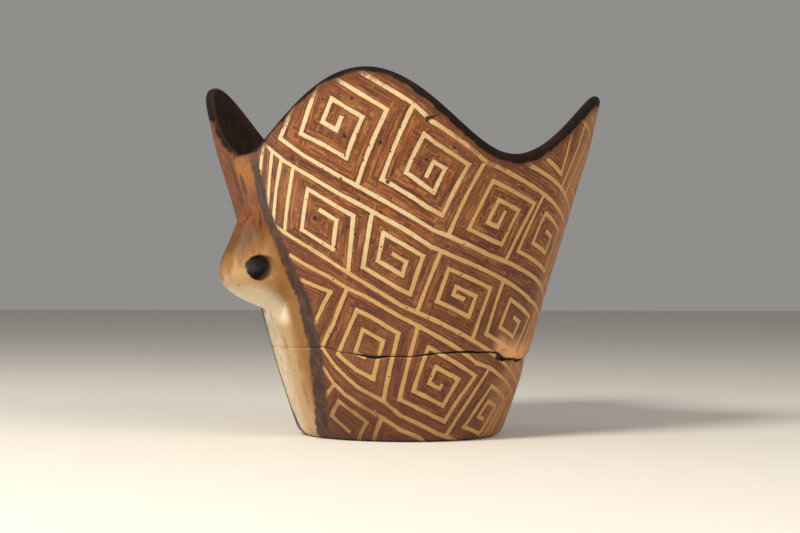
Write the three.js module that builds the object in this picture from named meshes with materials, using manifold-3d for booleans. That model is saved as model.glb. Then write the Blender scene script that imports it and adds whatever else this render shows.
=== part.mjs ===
// Painted pottery cup with a waved rim, a pierced lug and a mended break, in millimetres.
// The origin is the centre of the flat underside, +Z is up, and the lug points along -X.
// An azimuth is counted in degrees from -Y, and grows towards +X, so the lug stands at -90.

import * as THREE from "three";
import { ParametricGeometry } from "three/addons/geometries/ParametricGeometry.js";
import { mergeVertices } from "three/addons/utils/BufferGeometryUtils.js";
import Module from "manifold-3d";

// Driving dimensions of the wall
const footRadius = 41.6; // outer radius that the line of the wall has at the underside
const flare = 0.272; // how far the wall spreads on each millimetre of height
const footSwell = 3; // how far the wall bellies out over the foot
const swellRise = 25; // height over which the belly comes up
const rimSwell = 1; // how far it swells under the points of the rim
const rimSwellHeight = 118; // where that is most
const rimSwellSpread = 15; // and how far above and below it fades
const footRounding = 3.5; // radius of the worn edge round the underside
const wallThickness = 4.8; // horizontal thickness of the wall
const lipThickness = 3.6; // and of its rounded lip
const lipTaper = 24; // height over which the wall thins towards the lip
const floorThickness = 6;
const floorRounding = 9; // radius between the floor and the wall, inside

// Driving dimensions of the rim, which has four points with a dip between each two
const pointHeight = 143;
const dipHeight = 113;
const rimUnevenness = 3; // how far the tallest and the lowest point differ from pointHeight
const rimKnots = [
  { azimuth: -132, height: pointHeight + rimUnevenness },
  { azimuth: -85, height: dipHeight },
  { azimuth: -38, height: pointHeight },
  { azimuth: 7, height: dipHeight - rimUnevenness / 6 },
  { azimuth: 52, height: pointHeight - rimUnevenness },
  { azimuth: 101, height: dipHeight },
  { azimuth: 150, height: pointHeight - rimUnevenness / 3 },
  { azimuth: 188, height: dipHeight + rimUnevenness / 3 },
];

// Driving dimensions of the mended break, a level crack that wavers round the body
const crackHeight = 35.5;
const crackDepth = 1.6;
const crackWaver = 4; // how far the crack strays from its height, at most
const crackGap = 1; // how wide the crack gapes where it shows well
const crackKnots = [
  { azimuth: -88, rise: 0.25, opening: 0.3 },
  { azimuth: -63, rise: 0.4, opening: 0.3 },
  { azimuth: -50, rise: -0.1, opening: 0.5 },
  { azimuth: -38, rise: -0.4, opening: 1 },
  { azimuth: -26, rise: -0.35, opening: 0.4 },
  { azimuth: -8, rise: 0.1, opening: 0.8 },
  { azimuth: 15, rise: 0.05, opening: 0.8 },
  { azimuth: 26, rise: -0.7, opening: 1 },
  { azimuth: 42, rise: -0.95, opening: 1.2 },
  { azimuth: 60, rise: -0.1, opening: 0.7 },
  { azimuth: 110, rise: 0.15, opening: 0.5 },
  { azimuth: 150, rise: -0.3, opening: 0.5 },
  { azimuth: 215, rise: 0.2, opening: 0.4 },
];
const setBack = 1.3; // how far the mended foot stands in under the body, at most
const setBackAzimuth = 48;
const setBackFade = 9; // height over which the foot comes back to the line of the wall

// Driving dimensions of the lug and of the hole that goes through it level, along Y
const holeHeight = 68.3; // height of the axis of the hole
const holeRadius = 4.6; // in the middle of the lug
const holeFlare = 1.2; // how much wider the hole is at its two mouths
const mouthRounding = 6; // how suddenly it widens there: 1 would be an even cone
const lugWeb = 1.3; // clay between the hole and the wall
const lugStrap = 8.4; // clay on the outer side of the hole
const lugSole = 9.8; // clay under the hole
const lugShoulder = 25.9; // clay over the hole, where the lug runs out into the wall
const lugTipDrop = 3.8; // how far the tip of the lug lies under the axis of the hole
const lugHalfWidth = 12.5;
const lugTopHalfWidth = 4; // half the width where the lug runs out at its top
const lugFillet = 3.6; // how far the lug's foot is drawn out over the wall
const lugFootDepth = 0.3; // how deep the thin edge of the lug's foot is let into the wall

// How finely the surfaces are divided
const wallSlices = 84;
const cornerSteps = 3; // steps of the rounding under the foot and of the one over the floor
const footSteps = 4; // steps of the wall under the crack
const bodySteps = 11; // and over it
const lipSteps = 2;
const insideSteps = 9;
const noseSteps = 16; // steps of each ring of the lug over its outside
const rootSteps = 6; // and through its root
const lugStacks = 22;
const tipShare = 0.5; // share of the lug's levels that lies under its tip
const holeSlices = 24;
const holeStacks = 6; // steps from the middle of the hole to a mouth

const degrees = THREE.MathUtils.degToRad;

// Value of one field between knots that stand round the cup, turning smoothly at each knot
function around(knots, field, azimuth) {
  const next = knots.findIndex((knot) => knot.azimuth > azimuth);
  const after = next < 0 ? { ...knots[0], azimuth: knots[0].azimuth + 360 } : knots[next];
  const last = knots[knots.length - 1];
  const before = next === 0 ? { ...last, azimuth: last.azimuth - 360 } : knots.at(next - 1);
  const start = next < 0 ? last : before;
  const share = (azimuth - start.azimuth) / (after.azimuth - start.azimuth);
  const turn = (1 - Math.cos(Math.PI * share)) / 2;
  return THREE.MathUtils.lerp(start[field], after[field], turn);
}

// Outer radius of the sound wall at a height
function wallRadius(z) {
  const belly = footSwell * (1 - Math.exp(-z / swellRise));
  const swell = rimSwell * Math.exp(-(((z - rimSwellHeight) / rimSwellSpread) ** 2));
  return footRadius + flare * z + belly + swell;
}

// How far the mended foot stands in under the wall's line, at a depth under the crack
function footInset(azimuth, depth) {
  const facing = Math.max(0, Math.cos(degrees(azimuth - setBackAzimuth)));
  return setBack * facing ** 4 * Math.max(0, 1 - depth / setBackFade);
}

// Quarter turn from one direction to the next as pairs of cosine and sine
function quarter(steps) {
  return Array.from({ length: steps + 1 }, (_, i) => {
    const angle = (i / steps) * (Math.PI / 2);
    return { cos: Math.cos(angle), sin: Math.sin(angle) };
  });
}

// Even steps from one height to another, both ends left out
function between(low, high, steps) {
  return Array.from({ length: steps - 1 }, (_, i) => low + ((high - low) * (i + 1)) / steps);
}

// The cup's section at one azimuth, as radius and height from the middle of the underside,
// up the outside, over the lip and down the inside to the middle of the floor
function section(azimuth) {
  const rim = around(rimKnots, "height", azimuth);
  const crack = crackHeight + crackWaver * around(crackKnots, "rise", azimuth);
  const gap = crackGap * around(crackKnots, "opening", azimuth);
  const lipHalf = lipThickness / 2;
  const lipStart = rim - lipHalf;
  const lipMiddle = wallRadius(lipStart) - lipHalf;
  const points = [[0, 0]];

  for (const { cos, sin } of quarter(cornerSteps)) {
    const z = footRounding * (1 - cos);
    points.push([wallRadius(z) - footRounding * (1 - sin), z]);
  }
  const lowerLip = crack - gap / 2;
  for (const z of [...between(footRounding, lowerLip, footSteps), lowerLip]) {
    points.push([wallRadius(z) - footInset(azimuth, lowerLip - z), z]);
  }
  points.push([wallRadius(crack) - crackDepth - footInset(azimuth, 0), crack]);
  const upperLip = crack + gap / 2;
  for (const z of [upperLip, ...between(upperLip, lipStart, bodySteps)]) {
    points.push([wallRadius(z), z]);
  }

  for (const { cos, sin } of quarter(lipSteps)) {
    points.push([lipMiddle + lipHalf * cos, lipStart + lipHalf * sin]);
  }
  points.push([lipMiddle - lipHalf * Math.SQRT1_2, lipStart + lipHalf * Math.SQRT1_2]);
  const cornerTop = floorThickness + floorRounding;
  for (const z of [lipStart, ...between(lipStart, cornerTop, insideSteps)]) {
    points.push([innerRadius(z, rim), z]);
  }
  for (const { cos, sin } of quarter(cornerSteps)) {
    const z = cornerTop - floorRounding * sin;
    points.push([innerRadius(z, rim) - floorRounding * (1 - cos), z]);
  }
  points.push([0, floorThickness]);
  return points;
}

// Inner radius at a height, under a rim of a given height
function innerRadius(z, rim) {
  const nearLip = THREE.MathUtils.clamp((z - rim + lipTaper) / lipTaper, 0, 1);
  const thickness = THREE.MathUtils.lerp(wallThickness, lipThickness, nearLip);
  return wallRadius(Math.min(z, rim - lipThickness / 2)) - thickness;
}

// Closed surface from a three.js shape: equal points joined and empty triangles dropped
function closed(shape) {
  shape.deleteAttribute("normal");
  shape.deleteAttribute("uv");
  const merged = mergeVertices(shape, 1e-3);
  const index = merged.index.array;
  const kept = [];
  for (let i = 0; i < index.length; i += 3) {
    const [a, b, c] = index.slice(i, i + 3);
    if (a !== b && b !== c && c !== a) kept.push(a, b, c);
  }
  merged.setIndex(kept);
  return merged;
}

function wallGeometry() {
  const firstAzimuth = rimKnots[0].azimuth;
  const sections = Array.from({ length: wallSlices }, (_, i) =>
    section(firstAzimuth + (360 * i) / wallSlices),
  );
  const stacks = sections[0].length - 1;
  const place = (u, v, target) => {
    const slice = Math.round(u * wallSlices) % wallSlices;
    const angle = degrees(firstAzimuth + (360 * slice) / wallSlices);
    const [radius, z] = sections[slice][Math.round(v * stacks)];
    target.set(radius * Math.sin(angle), -radius * Math.cos(angle), z);
  };
  return closed(new ParametricGeometry(place, wallSlices, stacks));
}

// The lug's reach and its heights follow the hole and the clay that is left round it
const lugReach = lugWeb + 2 * holeRadius + lugStrap;
const lugTipHeight = holeHeight - lugTipDrop;
const lugBottom = holeHeight - holeRadius - lugSole;
const lugTop = holeHeight + holeRadius + lugShoulder - lugTipDrop;

// One level of the lug, from its underside (0) over its tip (tipShare) to its top (1)
function lugLevel(share) {
  if (share < tipShare) {
    const turn = (1 - share / tipShare) * (Math.PI / 2);
    const { sin, cos } = { sin: Math.sin(turn), cos: Math.max(0, Math.cos(turn)) };
    return {
      z: lugTipHeight - (lugTipHeight - lugBottom) * sin - lugFillet * (1 - cos) ** 3,
      stand: lugReach * cos,
      halfWidth: lugHalfWidth * Math.sqrt(cos),
    };
  }
  const climb = (share - tipShare) / (1 - tipShare);
  return {
    z: THREE.MathUtils.lerp(lugTipHeight, lugTop, climb),
    stand: (lugReach * (1 + Math.cos(Math.PI * climb))) / 2,
    halfWidth: THREE.MathUtils.lerp(lugHalfWidth, lugTopHalfWidth, climb),
  };
}

// The lug, hollowed out at its foot by a fillet, with a root that ends inside the wall
function lugGeometry() {
  const rootDepth = wallThickness / 2;
  const slices = noseSteps + rootSteps + 2;
  const place = (u, v, target) => {
    const { z, stand, halfWidth } = lugLevel(v);
    const closing = v < 1e-6 || v > 1 - 1e-6;
    const slice = Math.round(u * slices) % slices;
    const onRoot = slice > noseSteps;
    const angle = Math.PI * (onRoot ? 0.5 : slice / noseSteps - 0.5);
    const out = Math.max(0, Math.cos(angle));
    const spread = halfWidth * Math.sin(angle) + Math.sign(angle) * lugFillet * (1 - out) ** 3;
    const across = onRoot ? 1 - (2 * (slice - noseSteps - 1)) / rootSteps : 1;
    const y = closing ? 0 : spread * across;
    const depth = onRoot || closing ? rootDepth : lugFootDepth * (1 - out);
    const wall = Math.sqrt(wallRadius(z) ** 2 - y ** 2);
    target.set(-(wall - depth + (onRoot ? 0 : stand * out)), y, z);
  };
  return closed(new ParametricGeometry(place, slices, lugStacks));
}

// The tool that opens the hole: a round bar along Y, wider where it leaves the lug
function holeGeometry() {
  const end = lugHalfWidth + lugFillet + holeFlare; // clear of the lug
  const widening = Array.from({ length: 2 * holeStacks + 1 }, (_, i) => {
    const share = i / holeStacks - 1;
    const radius = holeRadius + holeFlare * Math.abs(share) ** mouthRounding;
    return new THREE.Vector2(radius, share * lugHalfWidth);
  });
  const mouth = holeRadius + holeFlare;
  const before = [new THREE.Vector2(0, -end), new THREE.Vector2(mouth, -end)];
  const after = [new THREE.Vector2(mouth, end), new THREE.Vector2(0, end)];
  const bar = new THREE.LatheGeometry([...before, ...widening, ...after], holeSlices);
  bar.translate(-(wallRadius(holeHeight) + lugWeb + holeRadius), 0, holeHeight);
  return closed(bar);
}

const wasm = await Module();
wasm.setup();

// Solid from a closed geometry, turned outside out where its faces point inwards
function toSolid(geometry) {
  const vertProperties = new Float32Array(geometry.attributes.position.array);
  const triVerts = new Uint32Array(geometry.index.array);
  const build = (verts) =>
    new wasm.Manifold(new wasm.Mesh({ numProp: 3, vertProperties, triVerts: verts }));
  const solid = build(triVerts);
  if (solid.volume() > 0) return solid;
  const flipped = triVerts.slice();
  for (let i = 0; i < flipped.length; i += 3) {
    [flipped[i + 1], flipped[i + 2]] = [flipped[i + 2], flipped[i + 1]];
  }
  return build(flipped);
}

function toGeometry(solid) {
  const mesh = solid.getMesh();
  const geometry = new THREE.BufferGeometry();
  geometry.setAttribute("position", new THREE.BufferAttribute(mesh.vertProperties, 3));
  geometry.setIndex(new THREE.BufferAttribute(mesh.triVerts, 1));
  geometry.computeVertexNormals();
  return geometry;
}

function vessel() {
  const body = toSolid(wallGeometry());
  const lug = toSolid(lugGeometry());
  const hole = toSolid(holeGeometry());
  const clay = new THREE.MeshStandardMaterial({ color: 0x8f5a3c, roughness: 0.48, metalness: 0 });
  const mesh = new THREE.Mesh(toGeometry(body.add(lug).subtract(hole)), clay);
  mesh.name = "vessel";
  return mesh;
}

const cup = new THREE.Group();
cup.add(vessel());

export default cup;
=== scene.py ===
import math
import bpy
import numpy as np
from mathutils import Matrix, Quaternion, Vector


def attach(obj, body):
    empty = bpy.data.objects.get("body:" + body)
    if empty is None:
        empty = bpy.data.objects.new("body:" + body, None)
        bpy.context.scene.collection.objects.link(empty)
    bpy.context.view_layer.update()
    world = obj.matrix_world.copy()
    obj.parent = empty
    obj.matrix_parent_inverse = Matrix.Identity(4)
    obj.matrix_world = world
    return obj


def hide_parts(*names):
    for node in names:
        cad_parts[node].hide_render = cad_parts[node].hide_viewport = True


# Painted pottery cup: one closed skin with the waved rim, the pierced lug and the mended crack,
# and a procedural material that reads distances stored on that skin.
# Lengths are in millimetres until the mesh is made. An azimuth is counted in degrees from -Y and
# grows towards +X. A bearing is the same angle counted from the side that faces the camera.

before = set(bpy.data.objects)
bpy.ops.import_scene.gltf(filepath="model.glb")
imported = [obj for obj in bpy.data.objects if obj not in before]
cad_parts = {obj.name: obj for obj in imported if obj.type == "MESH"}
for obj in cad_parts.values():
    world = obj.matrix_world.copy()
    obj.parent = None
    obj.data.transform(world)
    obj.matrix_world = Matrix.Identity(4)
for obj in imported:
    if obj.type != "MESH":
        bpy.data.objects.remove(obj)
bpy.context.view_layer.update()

MM = 0.001

# The camera, in metres and degrees, as read from the photograph's perspective
CAMERA_AZIMUTH = -28
CAMERA_DISTANCE = 0.7119
CAMERA_HEIGHT = 0.0596
AIM_HEIGHT = 0.0698
CAMERA_SIDESTEP = -0.0005
CAMERA_ROLL = 0.45
FOCAL_PIXELS = 1703
IMAGE_WIDTH = 800
SENSOR_WIDTH = 36

# Sizes of the wall, the same as the solid's
FOOT_RADIUS = 41.6
FLARE = 0.272
FOOT_SWELL = 3
SWELL_RISE = 25
RIM_SWELL = 1
RIM_SWELL_HEIGHT = 118
RIM_SWELL_SPREAD = 15
FOOT_ROUNDING = 3.5
WALL_THICKNESS = 4.8
LIP_THICKNESS = 3.6
LIP_TAPER = 24
FLOOR_THICKNESS = 6
FLOOR_ROUNDING = 9

# The rim as knots of azimuth and height
RIM_KNOTS = [
    (-132, 146), (-85, 113), (-38, 143), (7, 112.5),
    (52, 140), (101, 113), (150, 142), (188, 114),
]

# The mended crack as knots of azimuth, height over its level and width
CRACK_HEIGHT = 35.5
CRACK_DEPTH = 1.6
CRACK_KNOTS = [
    (-88, 1, 0.08), (-63, 1.6, 0.2), (-50, -0.4, 0.35), (-38, -1.6, 1), (-26, -1.4, 0.4),
    (-8, 0.4, 0.8), (15, 0.2, 0.8), (26, -2.8, 1), (42, -3.8, 1.2), (60, -0.4, 0.7),
    (110, 0.6, 0.5), (150, -1.2, 0.5), (215, 0.8, 0.4),
]
CRACK_ROUNDING = 0.35
CRACK_SHOULDER = 0.1  # share of the gap that the rounding takes on each side
ROUNDING_GAPS = (0.05, 0.4)  # gaps between which the crack's edges get round
DEPTH_GAPS = (0.1, 0.45)  # gaps between which the crack gets its depth
SET_BACK = 1.3
SET_BACK_AZIMUTH = 48
SET_BACK_FADE = 9

# The lug and its hole
HOLE_HEIGHT = 68.3
HOLE_RADIUS = 4.6
HOLE_FLARE = 1.2
HOLE_NARROWING = 0.6  # how much tighter the hole is at its far end
MOUTH_ROUNDING = 6
LUG_WEB = 1.3
LUG_STRAP = 8.4
LUG_SOLE = 9.8
LUG_SHOULDER = 25.9
LUG_TIP_DROP = 3.8
LUG_HALF_WIDTH = 12.5
LUG_TOP_HALF_WIDTH = 4
LUG_FILLET = 3.6
LUG_NECK = 2.2  # how much fuller the upper slope is than an even curve
LUG_EDGE = 2.5  # how far the lug stands out where it has its full outline
LUG_AZIMUTH = -90
# Painted shade darkens the hole's bore
HOLE_SHADE_DEPTHS = (12.5, 9)  # distances from its middle between which the hole gets dark
INNER_SHARE = 0.72  # share of the wall's thickness where the inside begins

# Slow waves of the wall and of the crack: size, count round the cup, turn with height, start
WALL_WAVES = [
    (0.16, 3, 0.05, 0.4), (0.12, 7, -0.07, 1.9), (0.07, 13, 0.11, 4.1), (0.04, 29, 0.17, 2.2),
]
CRACK_WAVES = [(0.14, 11, 0, 0.7), (0.1, 23, 0, 2.1), (0.06, 47, 0, 5.2)]
GAP_WAVES = [(0.25, 17, 0, 1.3), (0.15, 37, 0, 0.2)]
WAVES_RISE = 12  # height at which the wall's waves have their full size
INSIDE_WAVES = 0.6  # size of the same waves inside the lip, as a share

# How finely the skin is divided: slices round it, and rings on each of its parts
SLICES = 512
COARSE = 4  # slices of the outside to one of the inside and the underside
FINE_PARTS = ("outer", "lip")
UNDER_RADII = (14, 27, FOOT_RADIUS - FOOT_ROUNDING - 2)
FOOT_STEPS = 4
FOOT_ROWS = 32
BAND_TOPS = (48.5, 57, 67)  # heights between which the wall is divided more or less finely
BAND_ROWS = (14, 20, 12, 66)
LIP_STEPS = 7
INNER_ROWS = 56
FLOOR_STEPS = 6
FLOOR_RADII = (26, 17, 8)
PROFILE_POINTS = 60
BAR_STEPS = 12
BAR_SIDES = 64

# The baking map: the outside in two strips, then the inside, two discs and the hole's strip
MAP_MARGIN = 0.006
MAP_WIDTH = 0.988
MAP_TOP = 0.99
STRIP_HEIGHT = 0.4
STRIP_GAP = 0.012
INSIDE_WIDTH = 0.72
DISC_SIZE = 0.062
UNDER_CENTRE = (0.80, 0.908)
FLOOR_CENTRE = (0.93, 0.908)
HOLE_STRIP = (0.735, 0.99, 0.975, 0.994)
SEAM_NUDGE = 1e-7  # moves a seam's corner over to the second strip


def smooth_step(low, high, value):
    share = np.clip((value - low) / (high - low), 0, 1)
    return share * share * (3 - 2 * share)


def around(knots, field, azimuth):
    """Value of one field between knots that stand round the cup, turning smoothly at each."""
    first = knots[0][0]
    spots = np.array([knot[0] for knot in knots] + [first + 360], float)
    values = np.array([knot[field] for knot in knots] + [knots[0][field]], float)
    place = (np.asarray(azimuth) - first) % 360 + first
    after = np.clip(np.searchsorted(spots, place, side="right"), 1, len(spots) - 1)
    share = (place - spots[after - 1]) / (spots[after] - spots[after - 1])
    turn = (1 - np.cos(np.pi * share)) / 2
    return values[after - 1] + (values[after] - values[after - 1]) * turn


def wall_radius(z):
    belly = FOOT_SWELL * (1 - np.exp(-z / SWELL_RISE))
    swell = RIM_SWELL * np.exp(-(((z - RIM_SWELL_HEIGHT) / RIM_SWELL_SPREAD) ** 2))
    return FOOT_RADIUS + FLARE * z + belly + swell


def degree(z):
    """Length of one degree round the wall."""
    return np.radians(1) * wall_radius(z)


HOLE_AXIS = float(wall_radius(HOLE_HEIGHT)) + LUG_WEB + HOLE_RADIUS
SLANT = math.sqrt(1 + FLARE**2)  # length on the wall of one millimetre of height


def ripple(azimuth, z, waves):
    """Sum of slow waves round the cup, with whole counts so that they meet behind it."""
    angle = np.radians(azimuth)
    return sum(
        size * np.sin(count * angle + z * pitch + start) for size, count, pitch, start in waves
    )


def outer_radius(azimuth, z):
    return wall_radius(z) + ripple(azimuth, z, WALL_WAVES) * smooth_step(0, WAVES_RISE, z)


def wall_thickness(z, rim):
    near_lip = np.clip((z - rim + LIP_TAPER) / LIP_TAPER, 0, 1)
    return WALL_THICKNESS + (LIP_THICKNESS - WALL_THICKNESS) * near_lip


def inner_radius(z, rim):
    return wall_radius(np.minimum(z, rim - LIP_THICKNESS / 2)) - wall_thickness(z, rim)


def foot_inset(azimuth, depth):
    facing = np.maximum(0, np.cos(np.radians(azimuth - SET_BACK_AZIMUTH)))
    return SET_BACK * facing**4 * np.maximum(0, 1 - depth / SET_BACK_FADE)


def crack_height(azimuth):
    return CRACK_HEIGHT + around(CRACK_KNOTS, 1, azimuth) + ripple(azimuth, 0, CRACK_WAVES)


def crack_gap(azimuth):
    return around(CRACK_KNOTS, 2, azimuth) * (1 + ripple(azimuth, 0, GAP_WAVES))


def rings():
    """Rings of the skin from the underside up the outside and down the inside to the floor, each
    as (part, radii, heights) with one value to a slice."""
    fine = np.arange(SLICES) * 360 / SLICES - 180
    coarse = fine[::COARSE]
    found = []

    def add(part, radius, z):
        blank = np.zeros(SLICES if part in FINE_PARTS else len(coarse))
        found.append((part, radius + blank, z + blank))

    for radius in UNDER_RADII:
        add("under", radius, 0)
    for step in range(FOOT_STEPS + 1):
        turn = math.radians(90 * step / FOOT_STEPS)
        z = FOOT_ROUNDING * (1 - math.cos(turn))
        add("outer", outer_radius(fine, z) - FOOT_ROUNDING * (1 - math.sin(turn)), z)

    crack, gap = crack_height(fine), crack_gap(fine)
    lower, upper = crack - gap / 2, crack + gap / 2
    for row in range(1, FOOT_ROWS + 1):
        z = FOOT_ROUNDING + (lower - FOOT_ROUNDING) * row / FOOT_ROWS
        add("outer", outer_radius(fine, z) - foot_inset(fine, lower - z), z)
    rounding = CRACK_ROUNDING * smooth_step(*ROUNDING_GAPS, gap)
    depth = rounding + (CRACK_DEPTH - rounding) * smooth_step(*DEPTH_GAPS, gap)
    wall, inset = outer_radius(fine, crack), foot_inset(fine, 0)
    add("outer", wall - rounding - inset, lower + CRACK_SHOULDER * gap)
    add("outer", wall - depth - inset, crack)
    add("outer", wall - rounding, upper - CRACK_SHOULDER * gap)
    add("outer", outer_radius(fine, upper), upper)

    rim = around(RIM_KNOTS, 1, fine)
    half = LIP_THICKNESS / 2
    lip_start = rim - half
    edges = (upper, *BAND_TOPS, lip_start)
    for low, high, rows in zip(edges, edges[1:], BAND_ROWS):
        for row in range(1, rows + 1):
            z = low + (high - low) * row / rows
            add("outer", outer_radius(fine, z), z)

    outside, inside = outer_radius(fine, lip_start), inner_radius(lip_start, rim)
    middle, reach = (outside + inside) / 2, (outside - inside) / 2
    for step in range(1, LIP_STEPS):
        turn = math.radians(180 * step / LIP_STEPS)
        add("lip", middle + reach * math.cos(turn), lip_start + half * math.sin(turn))

    rim, lip_start = rim[::COARSE], lip_start[::COARSE]
    corner = FLOOR_THICKNESS + FLOOR_ROUNDING
    for row in range(INNER_ROWS + 1):
        z = lip_start + (corner - lip_start) * row / INNER_ROWS
        waves = ripple(coarse, z, WALL_WAVES) * INSIDE_WAVES * (1 - row / INNER_ROWS)
        add("inner", inner_radius(z, rim) + waves, z)
    for step in range(1, FLOOR_STEPS + 1):
        turn = math.radians(90 * step / FLOOR_STEPS)
        z = corner - FLOOR_ROUNDING * math.sin(turn)
        add("floor", inner_radius(z, rim) - FLOOR_ROUNDING * (1 - math.cos(turn)), z)
    for radius in FLOOR_RADII:
        add("floor", radius, FLOOR_THICKNESS)
    return found


def lug_profile():
    """Height, reach and half width of the lug from its underside over its tip to its top."""
    turn = np.linspace(math.pi / 2, 0, PROFILE_POINTS)
    cos, sin = np.maximum(0, np.cos(turn)), np.sin(turn)
    climb = np.linspace(0, 1, PROFILE_POINTS)[1:]
    tip = HOLE_HEIGHT - LUG_TIP_DROP
    bottom = HOLE_HEIGHT - HOLE_RADIUS - LUG_SOLE
    top = HOLE_HEIGHT + HOLE_RADIUS + LUG_SHOULDER - LUG_TIP_DROP
    reach = LUG_WEB + 2 * HOLE_RADIUS + LUG_STRAP
    nose = tip - (tip - bottom) * sin - LUG_FILLET * (1 - cos) ** 3
    slope = reach * (1 + np.cos(np.pi * climb)) / 2 + LUG_NECK * np.sin(np.pi * climb**2) ** 2
    narrowing = (LUG_TOP_HALF_WIDTH - LUG_HALF_WIDTH) * climb
    z = np.concatenate([nose, tip + (top - tip) * climb])
    stand = np.concatenate([reach * cos, slope])
    half = np.concatenate([LUG_HALF_WIDTH * np.sqrt(cos), LUG_HALF_WIDTH + narrowing])
    return z, stand, half


def place(azimuth, radius, z, part):
    """Position of skin points, with the lug raised from the outside of the wall."""
    angle = np.radians(azimuth)
    x, y = radius * np.sin(angle), -radius * np.cos(angle)
    if part != "outer":
        return np.stack([x, y, z], axis=-1)
    heights, stands, halves = lug_profile()
    stand = np.interp(z, heights, stands, left=0, right=0)
    half = np.interp(z, heights, halves)
    turn = np.radians((azimuth - LUG_AZIMUTH + 180) % 360 - 180)
    across = radius * np.sin(turn)
    foot = half + LUG_FILLET
    share = np.clip(across / foot, -1, 1)
    out = np.cos(share * np.pi / 2)
    drawn = half * np.sin(share * np.pi / 2) + np.sign(share) * LUG_FILLET * (1 - out) ** 3
    on_lug = (np.abs(across) < foot) & (np.abs(turn) < 1) & (stand > 0)
    blend = smooth_step(0, LUG_EDGE, stand)
    moved = across + (drawn - across) * blend
    wall = np.sqrt(np.maximum(radius**2 - moved**2, 0))
    x = np.where(on_lug, -(wall + stand * out), x)
    y = np.where(on_lug, -moved, y)
    return np.stack([x, y, z], axis=-1)


def skin():
    """Vertices, faces and the place of each face corner in the baking map."""
    ring_list = rings()
    vertices, starts, count = [], [], 0
    for part, radius, z in ring_list:
        azimuth = np.arange(len(radius)) * 360 / len(radius) - 180
        vertices.append(place(azimuth, radius, z, part))
        starts.append(count)
        count += len(radius)
    vertices.append(np.array([[0, 0, 0], [0, 0, FLOOR_THICKNESS]], float))
    wall_rows = [i for i, ring in enumerate(ring_list) if ring[0] in FINE_PARTS]
    inner_rows = [i for i, ring in enumerate(ring_list) if ring[0] == "inner"]
    last = len(ring_list) - 1

    def outside(row, share):
        up = (row - wall_rows[0]) / (wall_rows[-1] + 1 - wall_rows[0])
        second = share > 0.5 + SEAM_NUDGE / 2
        u = (share - 0.5 if second else share) * 2
        base = MAP_MARGIN + (STRIP_HEIGHT + STRIP_GAP if second else 0)
        return MAP_MARGIN + MAP_WIDTH * u, base + STRIP_HEIGHT * up

    def inside(row, share):
        up = (row - inner_rows[0]) / (inner_rows[-1] - inner_rows[0])
        base = MAP_MARGIN + 2 * (STRIP_HEIGHT + STRIP_GAP)
        return MAP_MARGIN + INSIDE_WIDTH * share, base + (MAP_TOP - base) * up

    def disc(centre, row, rim_row, share):
        radius = DISC_SIZE * float(np.mean(ring_list[row][1])) / ring_list[rim_row][1].max()
        turn = 2 * math.pi * share
        return centre[0] + radius * math.sin(turn), centre[1] - radius * math.cos(turn)

    def corner(row, i, above, nudge=0):
        """A vertex of a ring and its place in the map, for a face above or below that ring."""
        part, size = ring_list[row][0], len(ring_list[row][1])
        share = i / size + nudge
        if part == "under" or (row == wall_rows[0] and not above):
            spot = disc(UNDER_CENTRE, row, wall_rows[0], share)
        elif part == "floor" or (row == inner_rows[-1] and above):
            spot = disc(FLOOR_CENTRE, row, inner_rows[-1], share)
        elif part == "inner" and not (row == inner_rows[0] and not above):
            spot = inside(row, share)
        else:
            spot = outside(row, share)
        return starts[row] + i % size, spot

    faces, corners = [], []

    def add(*face):
        faces.append(tuple(vertex for vertex, _ in face))
        corners.extend(spot for _, spot in face)

    def join(low, high, i, nudge):
        """Joins one slice of two rings, by a fan of triangles where one ring is coarse."""
        sizes = len(ring_list[low][1]), len(ring_list[high][1])
        if sizes[0] == sizes[1]:
            add(
                corner(low, i, True, nudge), corner(low, i + 1, True),
                corner(high, i + 1, False), corner(high, i, False, nudge),
            )
            return
        rising = sizes[0] < sizes[1]
        one, many = (low, high) if rising else (high, low)
        start, end = corner(one, i, rising, nudge), corner(one, i + 1, rising)
        fan = [
            corner(many, COARSE * i + k, not rising, 0 if k else nudge) for k in range(COARSE + 1)
        ]
        half = COARSE // 2
        triangles = [(start, fan[k + 1], fan[k]) for k in range(half)]
        triangles.append((start, end, fan[half]))
        triangles += [(end, fan[k + 1], fan[k]) for k in range(half, COARSE)]
        for triangle in triangles:
            add(*(triangle if rising else reversed(triangle)))

    for row in range(last):
        cells = min(len(ring_list[row][1]), len(ring_list[row + 1][1]))
        for i in range(cells):
            join(row, row + 1, i, SEAM_NUDGE if 2 * i == cells else 0)
    for i in range(SLICES // COARSE):
        add((count, UNDER_CENTRE), corner(0, i + 1, True), corner(0, i, True))
        add((count + 1, FLOOR_CENTRE), corner(last, i, True), corner(last, i + 1, True))
    return np.concatenate(vertices), faces, corners


def new_object(name, data):
    made = bpy.data.objects.new(name, data)
    bpy.context.scene.collection.objects.link(made)
    return made


def mesh_object(name, vertices, faces, corners):
    mesh = bpy.data.meshes.new(name)
    mesh.from_pydata((np.asarray(vertices) * MM).tolist(), [], faces)
    uv = mesh.uv_layers.new(name="OFBake")
    uv.data.foreach_set("uv", np.asarray(corners, dtype=np.float32).ravel())
    mesh.validate()
    mesh.update()
    return new_object(name, mesh)


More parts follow.
